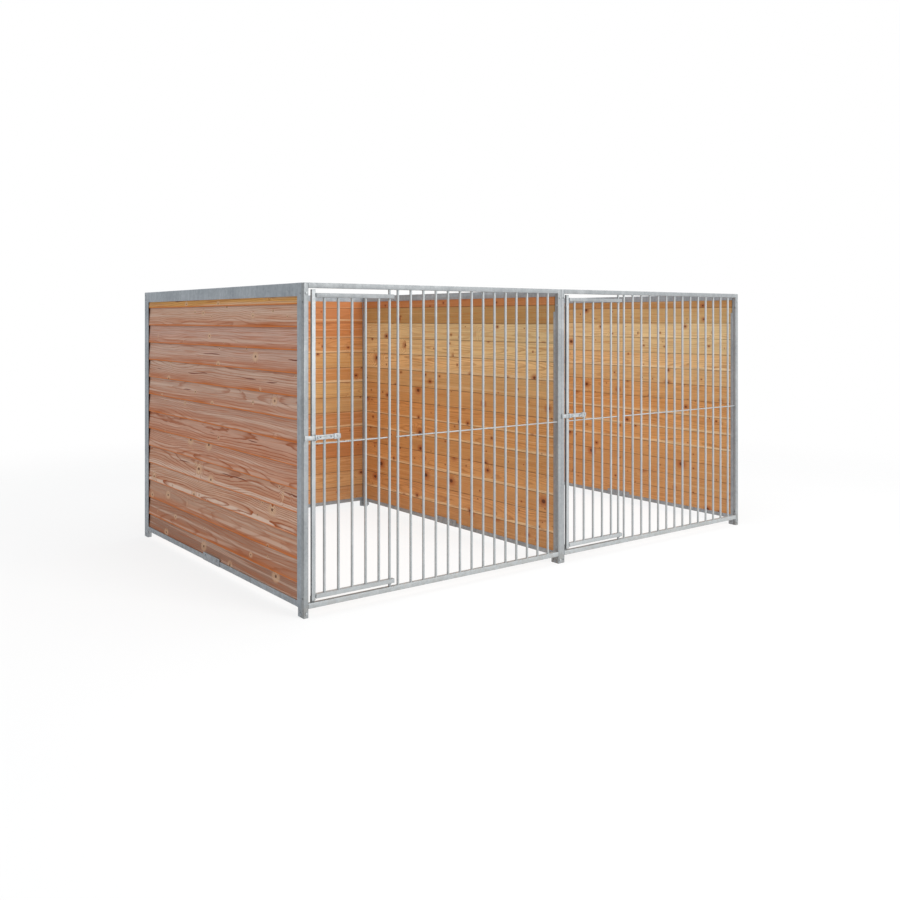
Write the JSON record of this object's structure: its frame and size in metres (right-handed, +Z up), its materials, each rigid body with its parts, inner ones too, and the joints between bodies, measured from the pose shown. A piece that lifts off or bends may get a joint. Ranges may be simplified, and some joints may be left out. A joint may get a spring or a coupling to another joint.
{
  "type": "double dog kennel",
  "caption": "Free-standing double dog run with barred galvanised fronts, a hinged door with a sliding latch in each, boarded side, dividing and rear walls and an open top.",
  "frame": {"origin": "on the ground under the middle of the kennel's bounding box", "axes": "+X along the barred front to the right, -Y out of the front, +Z up"},
  "size_m": [4.005, 2.5746, 1.89],
  "materials": {
    "galvanised_frame": "hot-dip galvanised, dull with a faint spangle",
    "zinc_fittings": "zinc plated, slightly brighter than the frame",
    "boards": "bare softwood, planed inside and sawn outside, with knots"
  },
  "bodies": {
    "frame": {"bolt_nuts": "zinc_fittings", "corner_bolts": "zinc_fittings", "divider_boards": "boards", "divider_bottom_rail": "galvanised_frame", "divider_stiles": "galvanised_frame", "divider_top_rail": "galvanised_frame", "door_stops": "galvanised_frame", "front_1_bars": "galvanised_frame", "front_1_bottom_rail": "galvanised_frame", "front_1_hinge_bar": "galvanised_frame", "front_1_mid_rod": "galvanised_frame", "front_1_posts": "galvanised_frame", "front_1_top_rail": "galvanised_frame", "front_2_bars": "galvanised_frame", "front_2_bottom_rail": "galvanised_frame", "front_2_hinge_bar": "galvanised_frame", "front_2_mid_rod": "galvanised_frame", "front_2_posts": "galvanised_frame", "front_2_top_rail": "galvanised_frame", "front_link_bolts": "zinc_fittings", "hinge_collars": "galvanised_frame", "latch_keepers": "zinc_fittings", "left_wall_boards": "boards", "left_wall_bottom_rail": "galvanised_frame", "left_wall_stiles": "galvanised_frame", "left_wall_top_rail": "galvanised_frame", "mid_plates": "galvanised_frame", "rear_link_bolts": "zinc_fittings", "rear_wall_1_boards": "boards", "rear_wall_1_bottom_rail": "galvanised_frame", "rear_wall_1_stiles": "galvanised_frame", "rear_wall_1_top_rail": "galvanised_frame", "rear_wall_2_boards": "boards", "rear_wall_2_bottom_rail": "galvanised_frame", "rear_wall_2_stiles": "galvanised_frame", "rear_wall_2_top_rail": "galvanised_frame", "right_wall_boards": "boards", "right_wall_bottom_rail": "galvanised_frame", "right_wall_stiles": "galvanised_frame", "right_wall_top_rail": "galvanised_frame"},
    "door_1": {"door_1_bars": "galvanised_frame", "door_1_bottom_rail": "galvanised_frame", "door_1_latch_guides": "zinc_fittings", "door_1_latch_pin": "zinc_fittings", "door_1_latch_plate": "zinc_fittings", "door_1_mid_rod": "galvanised_frame", "door_1_stile": "galvanised_frame", "door_1_top_rail": "galvanised_frame"},
    "door_2": {"door_2_bars": "galvanised_frame", "door_2_bottom_rail": "galvanised_frame", "door_2_latch_guides": "zinc_fittings", "door_2_latch_pin": "zinc_fittings", "door_2_latch_plate": "zinc_fittings", "door_2_mid_rod": "galvanised_frame", "door_2_stile": "galvanised_frame", "door_2_top_rail": "galvanised_frame"},
    "latch_1": {"latch_1_bolt": "zinc_fittings"},
    "latch_2": {"latch_2_bolt": "zinc_fittings"}
  },
  "joints": [
    {"name": "door_1_swing", "type": "hinge", "parent": "frame", "child": "door_1", "pos_m": [-1.414, -1.263, 0.945], "axis": [0, 0, 1], "range_deg": [0, 140]},
    {"name": "latch_1_slide", "type": "slide", "parent": "door_1", "child": "latch_1", "axis": [1, 0, 0], "range_m": [-0.014, 0]},
    {"name": "door_2_swing", "type": "hinge", "parent": "frame", "child": "door_2", "pos_m": [0.586, -1.263, 0.945], "axis": [0, 0, 1], "range_deg": [0, 140]},
    {"name": "latch_2_slide", "type": "slide", "parent": "door_2", "child": "latch_2", "axis": [1, 0, 0], "range_m": [-0.014, 0]}
  ]
}
